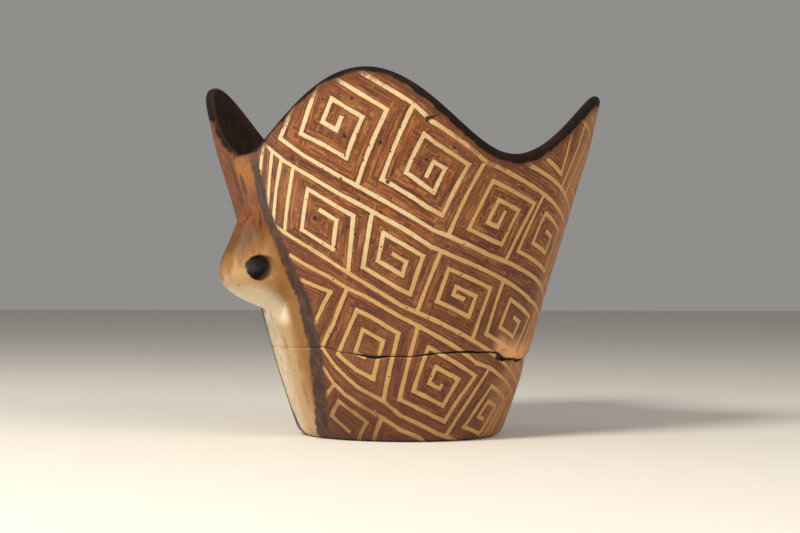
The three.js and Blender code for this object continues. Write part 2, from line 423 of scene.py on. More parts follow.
def hole_bar():
    """The tool that opens the hole: a round bar along Y, wider where it leaves the lug."""
    end = LUG_HALF_WIDTH + LUG_FILLET + HOLE_FLARE
    profile = [(HOLE_RADIUS + HOLE_FLARE, -end)]
    for step in range(-BAR_STEPS, BAR_STEPS + 1):
        share = step / BAR_STEPS
        flare = HOLE_FLARE * max(0, -share) ** MOUTH_ROUNDING
        widening = flare - HOLE_NARROWING * max(0, share)
        profile.append((HOLE_RADIUS + widening, share * LUG_HALF_WIDTH))
    profile.append((HOLE_RADIUS - HOLE_NARROWING, end))
    vertices, faces, corners = [], [], []
    for radius, y in profile:
        for side in range(BAR_SIDES):
            turn = 2 * math.pi * side / BAR_SIDES
            x, z = radius * math.cos(turn) - HOLE_AXIS, radius * math.sin(turn) + HOLE_HEIGHT
            vertices.append((x, y, z))
    left, right, low, high = HOLE_STRIP
    rows = len(profile) - 1
    for row in range(rows):
        for side in range(BAR_SIDES):
            a, b = row * BAR_SIDES + side, row * BAR_SIDES + (side + 1) % BAR_SIDES
            faces.append((a, b, b + BAR_SIDES, a + BAR_SIDES))
            for r, s in ((row, side), (row, side + 1), (row + 1, side + 1), (row + 1, side)):
                u = left + (right - left) * s / BAR_SIDES
                corners.append((u, low + (high - low) * r / rows))
    faces.append(tuple(reversed(range(BAR_SIDES))))
    faces.append(tuple(rows * BAR_SIDES + side for side in range(BAR_SIDES)))
    corners += [(left, low)] * (2 * BAR_SIDES)
    return mesh_object("hole_bar", vertices, faces, corners)


# Painted pattern. A bearing is in degrees and a height in millimetres.
BAR, RISE, HANG = "bar", "rise", "hang"
ROW_PITCH = 35.5
ROW_HEIGHT = 29
ROW_FALL = 0.45
TAIL_BEARING = 60
TAIL_HEIGHT = 94.5
LAST_BEARING = 286
TALLEST = 150
NEAREST = 3  # how many strokes each face of the skin knows
STROKE_REACH = 6
BEARING_REACH = 9  # degrees that hold that reach at every height
STREAK_SHIFT = 7.3  # sets the streaks of each stroke off from the last
TINY = 1e-6

# The even cells on the side that the photograph doesn't show
HIDDEN_LEAN = 9.5
HIDDEN_WIDTHS = {"rise": 22, "hang": 24}
HIDDEN_GAP = 4.9
HIDDEN_BAR_PITCH = 5.4
HIDDEN_WANDER = 1.4
HIDDEN_INSET = 0.26
HIDDEN_STEP = 0.19
HIDDEN_HEIGHTS = (5, 140)  # heights between which a cell's width is worked out
HIDDEN_START = 63  # where row 0 would begin, if the photograph didn't show it
HIDDEN_SHIFT = 5  # how far each row begins past the one above

# Rows that the photograph shows. Borders are (bearing, height) knots. A bar is where it stands
# on the lower and the upper border. A rising spiral starts at the lower right of its cell and a
# hanging one at the upper left: both hold the left edge on the lower and upper border, then the
# right edge, then strokes, inset, step and, where it differs, the step of the first winding.
ROWS = {
    0: {
        "upper": [(TAIL_BEARING, 130)],
        "lower": [
            (1, 136.5), (10, 127.5), (20, 119), (24, 115.5), (38, 109.5), (46, 106.7), (60, 101.6),
        ],
        "cells": [(BAR, 61.5, 66.5)],
        "next": 66,
    },
    1: {
        "upper": [
            (-24, 153), (-10, 140), (2.5, 129.5), (8, 123), (20, 113.5), (25, 109), (40, 102.5),
            (60, 94.5),
        ],
        "lower": [
            (-37, 117.5), (-30, 111), (-20, 103.5), (-4, 92.5), (10, 83), (17, 80), (31, 74),
            (60, 65),
        ],
        "cells": [
            (BAR, -37, -22.5),
            (RISE, -32.5, -18.3, -13.8, -1.9, 9, 0.26, 0.19),
            (HANG, -7.9, 2.9, 11.2, 21.6, 9, 0.27, 0.18),
            (BAR, 15.5, 25),
            (RISE, 20.9, 30.2, 39.5, 49.5, 9, 0.26, 0.175),
            (HANG, 43.3, 51.6, 65.6, 71, 8, 0.26, 0.19),
        ],
        "next": 70,
    },
    2: {
        "upper": [
            (-43.5, 115.5), (-37, 109), (-20, 96.5), (0, 83.5), (10, 76.5), (18, 73), (60, 56.5),
        ],
        "lower": [
            (-52, 88), (-43, 82), (-33, 76), (-15.5, 64), (0, 54), (10, 49.8), (39, 36.8),
            (60, 28.5),
        ],
        "cells": [
            (BAR, -57, -44), (BAR, -51, -41), (BAR, -48, -38), (BAR, -43, -34),
            (RISE, -36.5, -28.6, -19, -14.7, 6, 0.33, 0.19),
            (HANG, -14.4, -9.3, 2, 8.7, 8, 0.25, 0.2),
            (BAR, 6, 13.5),
            (RISE, 11.7, 18, 30.4, 36.1, 8, 0.26, 0.2, 0.28),
            (HANG, 36, 40.5, 56, 66, 8, 0.27, 0.19),
        ],
        "next": 61,
    },
    3: {
        "upper": [
            (-42, 73), (-35, 69), (-27, 65), (-20, 60.5), (-13.5, 57.5), (0, 49.5), (24, 37.5),
            (35, 31.5), (43, 29.5), (60, 23),
        ],
        "lower": [
            (-46, 50), (-35, 37.3), (-30, 30.3), (-25, 25.8), (-20, 22), (-8, 16.5), (0, 11),
            (10, 7.3), (20, 3.5), (60, -6),
        ],
        "cells": [
            (BAR, -35, -20),
            (RISE, -30.4, -14, -8, 0.6, 8, 0.27, 0.18),
            (HANG, -1.6, 6.7, 20, 38.2, 11, 0.2, 0.16),
            (BAR, 25, 43),
            (RISE, 31.5, 51, 50, 66, 8, 0.26, 0.19),
        ],
        "next": 56,
    },
}
# Strokes beside the rows: the foot's first row border and what is left of worn spirals
LOOSE_STROKES = [
    [(46.5, 112), (58.5, 106.3), (57.5, 132)],
    [(-37, 30), (-32, 23), (-27, 19), (-20, 15), (-10, 10.3), (0, 5.3), (10, 2), (20, -3)],
    [(-39, 63.5), (-27, 59), (-36, 47)],
    [(-32, 22.5), (-40, 16.5)],
    [(-24, 0), (-17, 8), (-31, 16), (-37, 10), (-28, 4)],
    [(-9, 10), (-15, 0)],
]


def tail(number, bearing):
    """Height of a row's upper border on the side that the photograph doesn't show."""
    return TAIL_HEIGHT + ROW_PITCH * (1 - number) - ROW_FALL * (bearing - TAIL_BEARING)


def row_borders(number, row):
    """A row's upper and lower border, going on evenly round the back."""
    bearings = (80, 120, 300) if row["upper"] else (TAIL_BEARING, 80, 120, 300)
    behind = [(bearing, tail(number, bearing)) for bearing in bearings]
    upper = list(row["upper"]) + behind
    lower = list(row["lower"]) + [(bearing, z - ROW_HEIGHT) for bearing, z in behind]
    return upper, lower


def hidden_cells(number, start, turn):
    """Bars and spirals that go on round the back, of even size in millimetres."""
    cells, bearing = [], start
    while bearing < LAST_BEARING:
        middle = tail(number, bearing) - ROW_HEIGHT / 2
        scale = float(degree(np.clip(middle, *HIDDEN_HEIGHTS)))
        lean = HIDDEN_LEAN / scale
        wander = HIDDEN_WANDER * math.sin(5.1 * turn + 1.7 * number)
        kind = (BAR, RISE, HANG)[turn % 3]
        if kind == BAR:
            cells.append((BAR, bearing, bearing + lean))
            bearing += HIDDEN_BAR_PITCH / scale
        else:
            right = bearing + (HIDDEN_WIDTHS[kind] + wander) / scale
            edges = (bearing, bearing + lean, right, right + lean)
            strokes = 8 if (turn + number) % 2 else 9
            cells.append((kind, *edges, strokes, HIDDEN_INSET, HIDDEN_STEP))
            bearing = right + HIDDEN_GAP / scale
        turn += 1
    return cells


def coil(strokes, inset, step, lift=None):
    """Corners of a rising spiral in shares of its cell, across from the left and up."""
    left, right, low, high = 0.0, 1.0, lift or step, 1 - step
    corners = [(right, 0.0)]
    for number in range(strokes):
        turn = number % 4
        if turn == 0:
            last = number == strokes - 1
            corners.append((right, high + 0.4 * step if last else high))
            right -= inset
        elif turn == 1:
            corners.append((left, high))
            high -= step
        elif turn == 2:
            corners.append((left, low))
            left += inset
        else:
            corners.append((right, low))
            low += step
    return corners


def cell_lines(upper, lower, cell):
    upper, lower = np.array(upper, float), np.array(lower, float)

    def spot(across, up, edges):
        left = edges[0] + (edges[1] - edges[0]) * up
        right = edges[2] + (edges[3] - edges[2]) * up
        bearing = left + (right - left) * across
        low = np.interp(bearing, lower[:, 0], lower[:, 1])
        high = np.interp(bearing, upper[:, 0], upper[:, 1])
        return bearing, low + (high - low) * up

    kind, sizes = cell[0], cell[1:]
    if kind == BAR:
        edges = (*sizes, *sizes)
        return [spot(0, up, edges) for up in (0, 0.5, 1)]
    edges, corners = sizes[:4], coil(*sizes[4:])
    if kind == HANG:
        corners = [(1 - across, 1 - up) for across, up in corners]
    path = []
    for (a0, u0), (a1, u1) in zip(corners, corners[1:]):
        for share in (0, 0.25, 0.5, 0.75):
            path.append(spot(a0 + (a1 - a0) * share, u0 + (u1 - u0) * share, edges))
    path.append(spot(*corners[-1], edges))
    return path


def painted_lines():
    found = list(LOOSE_STROKES)
    for number in range(-3, 4):
        start = HIDDEN_START + HIDDEN_SHIFT * number
        row = ROWS.get(number, {"upper": [], "lower": [], "cells": [], "next": start})
        upper, lower = row_borders(number, row)
        found += [upper, lower]
        cells = row["cells"] + hidden_cells(number, row["next"], 2 if number == 3 else 0)
        found += [cell_lines(upper, lower, cell) for cell in cells]
    return found


def stroke_pieces():
    """Straight pieces of all painted lines, each as bearing and height of its two ends."""
    found = []
    for line in painted_lines():
        for start, end in zip(line, line[1:]):
            low, high = sorted((start[1], end[1]))
            if high > -STROKE_REACH and low < TALLEST + STROKE_REACH:
                found.append((*start, *end))
    return np.array(found)


def beside_stroke(pieces, bearing, z):
    """Place of a point off the middle of a straight stroke and along it, and its length."""
    b0, z0, b1, z1 = pieces[..., 0], pieces[..., 1], pieces[..., 2], pieces[..., 3]
    scale = degree(z)
    px, pz = (bearing - b0) * scale, (z - z0) * SLANT
    dx, dz = (b1 - b0) * scale, (z1 - z0) * SLANT
    length = np.hypot(dx, dz) + TINY
    return (px * dz - pz * dx) / length, (px * dx + pz * dz) / length, length


def past_ends(along, length):
    """How far a point lies past the nearer end of a stroke, less than 0 beside the stroke."""
    return np.abs(along - length / 2) - length / 2


def nearest_strokes(pieces, bearing, z):
    """Numbers of the strokes nearest to each face, -1 where there is none in reach."""
    order = np.argsort(bearing)
    b, h = bearing[order], z[order]
    best = np.full((NEAREST, len(b)), float(STROKE_REACH))
    chosen = np.full((NEAREST, len(b)), -1)
    for number, piece in enumerate(pieces):
        left, right = sorted(piece[[0, 2]])
        low, high = sorted(piece[[1, 3]])
        start, stop = np.searchsorted(b, (left - BEARING_REACH, right + BEARING_REACH))
        heights = h[start:stop]
        inside = (heights > low - STROKE_REACH) & (heights < high + STROKE_REACH)
        near = np.nonzero(inside)[0] + start
        side, along, length = beside_stroke(piece, b[near], h[near])
        gap = np.maximum(np.abs(side), past_ends(along, length))
        held = np.full(len(near), number)
        for rank in range(NEAREST):
            other_gap, other = best[rank, near], chosen[rank, near]
            closer = gap < other_gap
            best[rank, near] = np.where(closer, gap, other_gap)
            chosen[rank, near] = np.where(closer, held, other)
            gap, held = np.where(closer, other_gap, gap), np.where(closer, other, held)
    result = np.empty_like(chosen)
    result[:, order] = chosen
    return result


# The pale bare panel behind the lug: knots of height and half width, and its border
PANEL_BEARING = -61
PANEL_KNOTS = [
    (0, 6), (4, 7.5), (16, 12), (36, 17.5), (56, 19), (76, 14), (92, 10), (104, 11), (120, 12),
]
BAND_WIDTHS = (7.5, 5.5)  # at the foot and at the height of the band's top
BAND_TOP = 110
PANEL_LEFT = 16  # how much wider the panel gets on the hidden side, between two heights
PANEL_LEFT_RISE = (72, 104)

# Smudges and a dark slot on the panel: bearing, height, half width and half height
SMUDGES = [(-58, 38, 1.6, 4.5), (-52, 19, 2.2, 7), (-50.5, 30, 1.6, 3.5), (-66, 50, 1.5, 5)]
SLOTS = [(-60.2, 101, 2.1, 5.5)]

# Chips with a dark edge: bearing and height of the two ends
CHIPS = [(6.7, 123.7, 10.3, 125.8), (18.1, 118.2, 19.1, 119), (47, 33.5, 52, 32.6)]
CHIP_HALF_WIDTH = 0.95
CHIP_DEPTH = 0.5

# Small pits in the surface: bearing, height and radius
PITS = [
    (-34, 109.6, 0.7), (-29.1, 87, 1), (-25.9, 85.2, 0.5), (-22.7, 76.1, 0.7), (-20.1, 73, 0.5),
    (-18.6, 101.9, 0.6), (-18, 83.6, 0.5), (-16.7, 110.4, 0.5), (-16.2, 117.5, 0.9),
    (-15.4, 81.1, 0.6), (-13.6, 131.3, 0.7), (-13.4, 94.1, 0.6), (-12.7, 118.1, 0.4),
    (-11.7, 96.2, 0.5), (-11.2, 108.5, 0.4), (-10.3, 88.6, 0.5), (-9.6, 78.1, 0.5),
    (-6.8, 76.3, 0.5), (-6.7, 89.3, 0.6), (-6.2, 115, 0.9), (-4.3, 100.6, 0.9),
    (-3.3, 111.7, 0.4), (-0.5, 120.6, 0.4), (3.2, 109.1, 0.4), (6.8, 104.6, 0.4),
    (7.2, 109, 0.7), (6.8, 118.8, 0.5), (15, 113.5, 0.7), (31, 52, 0.5), (22, 66, 0.5),
    (96, 88, 0.8), (131, 60, 0.9), (163, 101, 0.8), (205, 72, 0.7), (228, 49, 0.9), (250, 110, 0.8),
]
PIT_DEPTH = 0.35


def pit_gaps(bearing, z):
    """Distances of points from the edge of each pit."""
    return np.array([np.hypot((bearing - b) * degree(z), z - h) - r for b, h, r in PITS])


def near_marks(marks, bearing, z):
    """1 in the middle of the nearest mark, 0 at its edge and beyond."""
    best = np.zeros(len(z))
    for spot, height, half_width, half_height in marks:
        aside = ((bearing - spot + 180) % 360 - 180) * degree(z)
        far = (aside / half_width) ** 2 + ((z - height) / half_height) ** 2
        best = np.maximum(best, 1 - far)
    return best


def near_chips(bearing, z):
    """Distance from the edge of the nearest chip."""
    side, along, length = beside_stroke(np.array(CHIPS)[:, None], bearing, z)
    past_end = np.maximum(0, past_ends(along, length))
    return np.hypot(side, past_end).min(axis=0) - CHIP_HALF_WIDTH


vessel = mesh_object("cup", *skin())
bar = hole_bar()
bar.data.flip_normals()
cut = vessel.modifiers.new("hole", "BOOLEAN")
cut.operation = "DIFFERENCE"
cut.object = bar
cut.solver = "EXACT"
depsgraph = bpy.context.evaluated_depsgraph_get()
opened = bpy.data.meshes.new_from_object(vessel.evaluated_get(depsgraph))
vessel.modifiers.clear()
vessel.data = opened
bpy.data.objects.remove(bar)
opened.name = "cup"

# Distances and masks for the material, worked out for each vertex of the finished skin
spots = np.empty(len(opened.vertices) * 3)
opened.vertices.foreach_get("co", spots)
spots = spots.reshape(-1, 3) / MM
azimuth = np.degrees(np.arctan2(spots[:, 0], -spots[:, 1]))
bearing = (azimuth - CAMERA_AZIMUTH - PANEL_BEARING) % 360 + PANEL_BEARING
height = spots[:, 2]
radius = np.hypot(spots[:, 0], spots[:, 1])
rim = around(RIM_KNOTS, 1, azimuth)
is_inner = radius < wall_radius(height) - INNER_SHARE * wall_thickness(height, rim)
is_inner &= height > FLOOR_THICKNESS - 0.5
is_under = (height < 0.2) & (radius < FOOT_RADIUS - FOOT_ROUNDING + 0.3)
turned = (bearing - PANEL_BEARING + 180) % 360 - 180
panel_side = turned * degree(height)
past_panel = np.abs(panel_side) - np.interp(height, *zip(*PANEL_KNOTS))
past_panel -= (turned < 0) * PANEL_LEFT * smooth_step(*PANEL_LEFT_RISE, height)
from_axis = np.hypot(spots[:, 0] + HOLE_AXIS, height - HOLE_HEIGHT)
along_hole = np.abs(spots[:, 1])
mouth_share = np.minimum(1, along_hole / LUG_HALF_WIDTH)
hole_edge = HOLE_RADIUS + HOLE_FLARE * mouth_share**MOUTH_ROUNDING + 0.1
# The hole's bore, where painted shade darkens the clay
painted_hole_shade = (from_axis < hole_edge) & (mouth_share < 1)
for name, values in {
    "panel": past_panel,
    "past_band": past_panel - np.interp(height, (0, BAND_TOP), BAND_WIDTHS),
    "panel_side": panel_side,
    "height": height,
    "bearing": bearing,
    "below_rim": rim - height,
    "over_crack": height - crack_height(azimuth),
    "crack_gap": crack_gap(azimuth),
    "smudge": near_marks(SMUDGES, bearing, height),
    "slot": near_marks(SLOTS, bearing, height),
    "inside": is_inner,
    "under": is_under,
    "painted_hole_shade": painted_hole_shade * smooth_step(*HOLE_SHADE_DEPTHS, along_hole),
}.items():
    layer = opened.attributes.new(name, "FLOAT", "POINT")
    layer.data.foreach_set("value", np.asarray(values, dtype=np.float32))

dent = PIT_DEPTH * smooth_step(0.7, -0.5, pit_gaps(bearing, height).min(axis=0)) * ~is_inner
dent += CHIP_DEPTH * smooth_step(0.3, -0.6, near_chips(bearing, height)) * ~is_inner
angle = np.radians(azimuth)
outward = np.stack([np.sin(angle), -np.cos(angle), np.zeros(len(angle))], axis=1)
spots -= outward * dent[:, None]
opened.vertices.foreach_set("co", (spots * MM).ravel())
opened.shade_smooth()
opened.update()

# Each face corner gets its place beside the strokes, the chip and the pit nearest to the face
corner_vertex = np.empty(len(opened.loops), dtype=np.int64)
opened.loops.foreach_get("vertex_index", corner_vertex)
corner_count = np.empty(len(opened.polygons), dtype=np.int64)
opened.polygons.foreach_get("loop_total", corner_count)
corner_start = np.concatenate([[0], np.cumsum(corner_count)[:-1]])
corner_face = np.repeat(np.arange(len(opened.polygons)), corner_count)
corner_bearing, corner_height = bearing[corner_vertex], height[corner_vertex]
face_bearing = np.add.reduceat(corner_bearing, corner_start) / corner_count
face_height = np.add.reduceat(corner_height, corner_start) / corner_count


def store_corners(name, places):
    layer = opened.attributes.new(name, "FLOAT_VECTOR", "CORNER")
    layer.data.foreach_set("vector", np.stack(places, axis=1).astype(np.float32).ravel())


def stroke_places(pieces, numbers):
    """Place of each corner off the middle of one stroke, past the nearer of its ends, along it."""
    _, along, length = beside_stroke(pieces[numbers], face_bearing, face_height)
    past_end = (along > length / 2)[corner_face]
    side, along, length = beside_stroke(pieces[numbers][corner_face], corner_bearing, corner_height)
    end = np.where(past_end, along - length, -along)
    end = np.where((numbers < 0)[corner_face], STROKE_REACH, end)
    return side, end, along + STREAK_SHIFT * numbers[corner_face]


pieces = stroke_pieces()
for rank, numbers in enumerate(nearest_strokes(pieces, face_bearing, face_height)):
    store_corners(f"stroke_{rank}", stroke_places(pieces, numbers))
chips = np.array(CHIPS, float)
nearest_chip = nearest_strokes(chips, face_bearing, face_height)[0]
store_corners("chip_place", stroke_places(chips, nearest_chip))
nearest = np.argmin(pit_gaps(face_bearing, face_height), axis=0)[corner_face]
pit_bearing, pit_height, pit_radius = np.array(PITS)[nearest].T
store_corners("pit_place", (
    (corner_bearing - pit_bearing) * degree(corner_height),
    (corner_height - pit_height) * SLANT,
    pit_radius,
))
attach(vessel, "root")
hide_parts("vessel")


# Colours of the brush lines and the brown paint; the shaded cream is painted shade
CREAM = (0.72, 0.55, 0.325)
CREAM_SHADED = (0.54, 0.325, 0.125)
CREAM_DULL = (0.34, 0.175, 0.065)
BROWN_DARK = (0.055, 0.021, 0.010)
BROWN_PURPLE = (0.092, 0.032, 0.022)
BROWN_RED = (0.210, 0.066, 0.020)
BROWN_PALE = (0.395, 0.175, 0.060)

# Colours of the bare panel, the marks on it, the streaks over the lug and the band round it, the
# painted light under the lug and the painted shade in its hole
PANEL_CREAM = (0.60, 0.51, 0.375)
PANEL_TAN = (0.39, 0.238, 0.092)
PANEL_GOLD = (0.245, 0.113, 0.027)
PANEL_BRONZE = (0.100, 0.040, 0.007)
PANEL_GRAIN = (0.30, 0.17, 0.09)
PANEL_SMUDGE = (0.20, 0.10, 0.055)
PANEL_SLOT = (0.052, 0.018, 0.010)
UNDERSIDE_LIGHT_CREAM = (0.80, 0.69, 0.51)
STREAK_STRIP = (0.36, 0.142, 0.020)
STREAK_RUST = (0.215, 0.052, 0.006)
STREAK_DARK = (0.062, 0.018, 0.006)
BAND_DARK = (0.036, 0.019, 0.014)
BAND_BROWN = (0.075, 0.036, 0.024)
BAND_RED = (0.115, 0.045, 0.026)
BAND_WORN = (0.120, 0.056, 0.034)
HOLE_SHADE_COLOUR = (0.030, 0.013, 0.009)

# Colours of wear and breaks; the faint brown is partly painted sheen
FAINT_BROWN = (0.37, 0.165, 0.065)
RUBBED_PEACH = (0.70, 0.35, 0.17)
FLECK_PALE = (0.42, 0.25, 0.13)
SPECK_DARK = (0.05, 0.028, 0.02)
PIT_DARK = (0.030, 0.015, 0.012)
CHIP_DARK = (0.032, 0.014, 0.009)
CRACK_BROWN = (0.085, 0.030, 0.014)
CRACK_DARK = (0.026, 0.011, 0.007)
GRIME = (0.03, 0.014, 0.01)

# Colours of the rim, the inside and the underside
RIM_BROWN = (0.125, 0.042, 0.016)
LIP_BLACK = (0.006, 0.003, 0.002)
LIP_BROWN = (0.016, 0.007, 0.004)
INSIDE_BROWN = (0.034, 0.014, 0.008)
UNDER_PALE = (0.30, 0.185, 0.105)
UNDER_BROWN = (0.20, 0.115, 0.065)

# Half widths of the brush lines, and how unsteady and how soft their edges are
LINE_HALF_WIDTHS = (0.72, 0.94)
LINE_WAVER = 0.11
LINE_SOFTNESS = 0.16

# How glossy and how rough the clay is
SPECULAR_LEVEL = 0.2
DULL_ROUGHNESS = 0.95
BUMP_STRENGTH = 0.35
BUMP_DEPTH = 0.25


class Clay:
    """The cup's material, short names for its nodes, and the fields that its layers share."""

    def __init__(self):
        self.material = bpy.data.materials.new("painted_clay")
        self.material.use_nodes = True
        self.nodes = self.material.node_tree.nodes
        self.links = self.material.node_tree.links
        self.nodes.clear()
        self.position = self.place()
        for name in ("panel", "panel_side", "height", "below_rim", "over_crack", "bearing"):
            setattr(self, name, self.attribute(name))
        self.broad = self.noise(0.045, 3)
        self.patch = self.noise(0.16, 4)
        self.wobble = self.noise(0.5, 2)
        self.grain = self.noise(1.6, 4, 0.65)
        self.fine = self.noise(4.5, 3, 0.6)
        self.smear = self.noise(1.0, 4, 0.6, self.place(0.55, 0.55, 0.06))
        self.line, self.side, self.along = self.nearest_stroke()

    def node(self, kind, inputs=(), output=0, **settings):
        """Output of a new node, with its settings made and its inputs fed by number or name."""
        node = self.nodes.new("ShaderNode" + kind)
        for name, setting in settings.items():
            setattr(node, name, setting)
        for key, value in dict(inputs).items():
            if isinstance(value, bpy.types.NodeSocket):
                self.links.new(value, node.inputs[key])
            else:
                is_colour = isinstance(value, tuple)
                node.inputs[key].default_value = (*value, 1.0) if is_colour else value
        return node.outputs[output]

    def attribute(self, name, output="Fac"):
        return self.node("Attribute", output=output, attribute_name=name)

    def places(self, name):
        """The three numbers of a place that is stored at each face corner."""
        vector = {0: self.attribute(name, "Vector")}
        return self.node("SeparateXYZ", vector, slice(None))

    def combine(self, *values):
        return self.node("CombineXYZ", enumerate(values))

    def math(self, operation, *values):
        return self.node("Math", enumerate(values), operation=operation)

    def plus(self, first, second):
        return self.math("ADD", first, second)

    def minus(self, first, second):
        return self.math("SUBTRACT", first, second)

    def larger(self, first, second):
        return self.math("MAXIMUM", first, second)

    def times(self, product, *others):
        for other in others:
            product = self.math("MULTIPLY", product, other)
        return product

    def ramp(self, *values):
        """A value from low to high goes smoothly from one number to another, else 0 to 1."""
        numbers = values if len(values) == 5 else (*values, 0.0, 1.0)
        return self.node("MapRange", enumerate(numbers), interpolation_type="SMOOTHSTEP")

    def fade(self, value, low, high, share=1.0):
        """A share up to low that is gone from high on."""
        return self.ramp(value, low, high, share, 0)

    def waver(self, noise, size):
        """A noise as an offset of up to a size to either side."""
        return self.ramp(noise, 0.3, 0.7, -size, size)

    def blend(self, share, first, second):
        return self.node("Mix", {0: share, 2: first, 3: second})

    def mix(self, share, first, second):
        return self.node("Mix", {0: share, 6: first, 7: second}, 2, data_type="RGBA")

    def place(self, *stretch):
        """Object position in millimetres, stretched along the three axes."""
        scale = Vector(stretch or (1, 1, 1)) / MM
        position = self.node("TexCoord", output="Object")
        return self.node("Mapping", {"Vector": position, "Scale": scale})

    def noise(self, scale, detail, roughness=0.55, vector=None):
        inputs = {"Vector": vector or self.position, "Scale": scale, "Detail": detail}
        return self.node("TexNoise", {**inputs, "Roughness": roughness})

    def spots(self, scale):
        """Distance from the nearest of many scattered points."""
        return self.node("TexVoronoi", {"Vector": self.position, "Scale": scale})

    def nearest_stroke(self):
        """Distance from the middle of the nearest stroke, and the places off and along it."""
        best = side = along = None
        for rank in range(NEAREST):
            off, end, far = self.places(f"stroke_{rank}")
            gap = self.larger(self.math("ABSOLUTE", off), end)
            if rank == 0:
                best, side, along = gap, off, far
                continue
            closer = self.math("LESS_THAN", gap, best)
            side = self.blend(closer, side, off)
            along = self.blend(closer, along, far)
            best = self.math("MINIMUM", gap, best)
        return best, side, along


def brush_work(g):
    """The painted pattern: its colour with painted shade to the right and below, a mask of the
    lines and the streaks of the brown.
    """
    half_width = g.ramp(g.patch, 0.3, 0.7, *LINE_HALF_WIDTHS)
    edge = g.minus(g.line, g.plus(half_width, g.waver(g.grain, LINE_WAVER)))
    on_line = g.fade(edge, -LINE_SOFTNESS, LINE_SOFTNESS)
    shift = g.waver(g.broad, 12)
    # Shares of painted shade below about 92 mm, and of a darker pattern towards the foot
    lower = g.ramp(g.plus(g.height, shift), 92, 60)
    at_foot = g.ramp(g.plus(g.height, g.waver(g.patch, 6)), 30, 8)

    # The lines are the clay's own cream, worn in places, and painted more golden to the right and
    # below as painted shade
    cream_shade = g.larger(g.ramp(g.plus(g.bearing, shift), -8, 32), lower)
    cream = g.mix(cream_shade, CREAM, CREAM_SHADED)
    cream = g.mix(g.ramp(g.grain, 0.42, 0.75, 0, 0.45), cream, CREAM_DULL)
    worn = g.ramp(g.noise(0.9, 3), 0.56, 0.72, 0, 0.5)
    cream = g.mix(worn, cream, CREAM_DULL)
    cream = g.mix(g.times(at_foot, 0.55), cream, CREAM_DULL)

    # The brown is dark beside the lines, streaked along the strokes and scratched across them, and
    # more purple below as painted shade
    along_stroke = g.combine(g.times(g.side, 1.15), g.times(g.along, 0.07), g.patch)
    streak = g.noise(1.0, 3, 0.6, along_stroke)
    across_stroke = g.combine(g.times(g.side, 0.35), g.times(g.along, 1.1), g.broad)
    scratch = g.noise(1.0, 3, 0.6, across_stroke)
    brown = g.mix(g.ramp(streak, 0.39, 0.51), BROWN_PURPLE, BROWN_RED)
    brown = g.mix(g.ramp(streak, 0.53, 0.64, 0, 0.8), brown, BROWN_PALE)
    brown = g.mix(g.ramp(g.patch, 0.5, 0.75, 0, 0.45), brown, BROWN_PURPLE)
    brown = g.mix(g.ramp(g.broad, 0.5, 0.72, 0, 0.35), brown, BROWN_PALE)
    # Painted shade: the brown is more purple below
    brown = g.mix(g.times(lower, 0.35), brown, BROWN_PURPLE)
    brown = g.mix(g.times(at_foot, 0.4), brown, BROWN_PURPLE)
    brown = g.mix(g.fade(edge, 0.05, 0.55, 0.8), brown, BROWN_DARK)
    brown = g.mix(g.ramp(scratch, 0.53, 0.7, 0, 0.5), brown, BROWN_DARK)

    painted = g.mix(on_line, brown, cream)
    # The pattern is darker towards the foot, most on its left
    foot_left = g.times(at_foot, g.ramp(g.bearing, 6, -20))
    painted = g.mix(g.times(foot_left, 0.42), painted, BROWN_DARK)
    return painted, on_line, streak


def lug_streaks(g):
    """The upright red-brown streaks between the lug and the rim."""
    fibre = g.noise(1.0, 3, 0.6, g.place(1.5, 1.5, 0.12))
    rust = g.mix(g.ramp(fibre, 0.35, 0.62), STREAK_DARK, STREAK_RUST)
    rust = g.mix(g.ramp(fibre, 0.56, 0.70, 0, 0.6), rust, PANEL_GOLD)
    strip = g.times(g.ramp(g.height, 92, 107), g.ramp(g.panel_side, -3.2, -0.5))
    rust = g.mix(g.times(strip, g.ramp(fibre, 0.35, 0.6, 0.9, 0.5)), rust, STREAK_STRIP)
    stripe = g.times(g.ramp(g.panel_side, -8, -6), g.fade(g.panel_side, -4.5, -2.8))
    return g.mix(g.times(stripe, 0.8), rust, STREAK_DARK)


def bare_panel(g, edge_wobble):
    """The bare panel behind the lug: pale below, bronze on the lug and streaked over it, with
    painted light under the lug and on the panel's left.
    """
    # Painted light on the lug's underside, as from the floor below
    painted_underside_light = g.times(
        g.ramp(g.height, 63, 56), g.ramp(g.height, 44, 50), g.ramp(g.panel_side, 13, 7)
    )
    # Tan to the right; the paleness on the panel's left is painted light from that side
    to_tan = g.larger(g.ramp(g.smear, 0.4, 0.75), g.ramp(g.panel_side, -7, 4, 0, 0.85))
    to_tan = g.times(to_tan, g.minus(1.0, g.times(painted_underside_light, 0.8)))
    bare = g.mix(to_tan, PANEL_CREAM, PANEL_TAN)
    bare = g.mix(g.ramp(g.plus(g.panel_side, edge_wobble), 5, 14), bare, PANEL_GOLD)
    bare = g.mix(g.times(painted_underside_light, 0.7), bare, UNDERSIDE_LIGHT_CREAM)
    lifted = g.plus(g.minus(g.height, g.panel_side), g.waver(g.smear, 2.5))
    bare = g.mix(g.ramp(lifted, 60, 68), bare, PANEL_GOLD)
    bare = g.mix(g.ramp(lifted, 66, 77), bare, PANEL_BRONZE)
    over_lug = g.ramp(g.plus(g.height, g.waver(g.smear, 3)), 80, 87)
    bare = g.mix(over_lug, bare, lug_streaks(g))
    bare = g.mix(g.ramp(g.attribute("slot"), 0.0, 0.7, 0, 0.92), bare, PANEL_SLOT)
    smudged = g.plus(g.attribute("smudge"), g.waver(g.grain, 0.3))
    bare = g.mix(g.ramp(smudged, 0.1, 1.0, 0, 0.6), bare, PANEL_SMUDGE)
    return g.mix(g.ramp(g.grain, 0.5, 0.8, 0, 0.25), bare, PANEL_GRAIN)


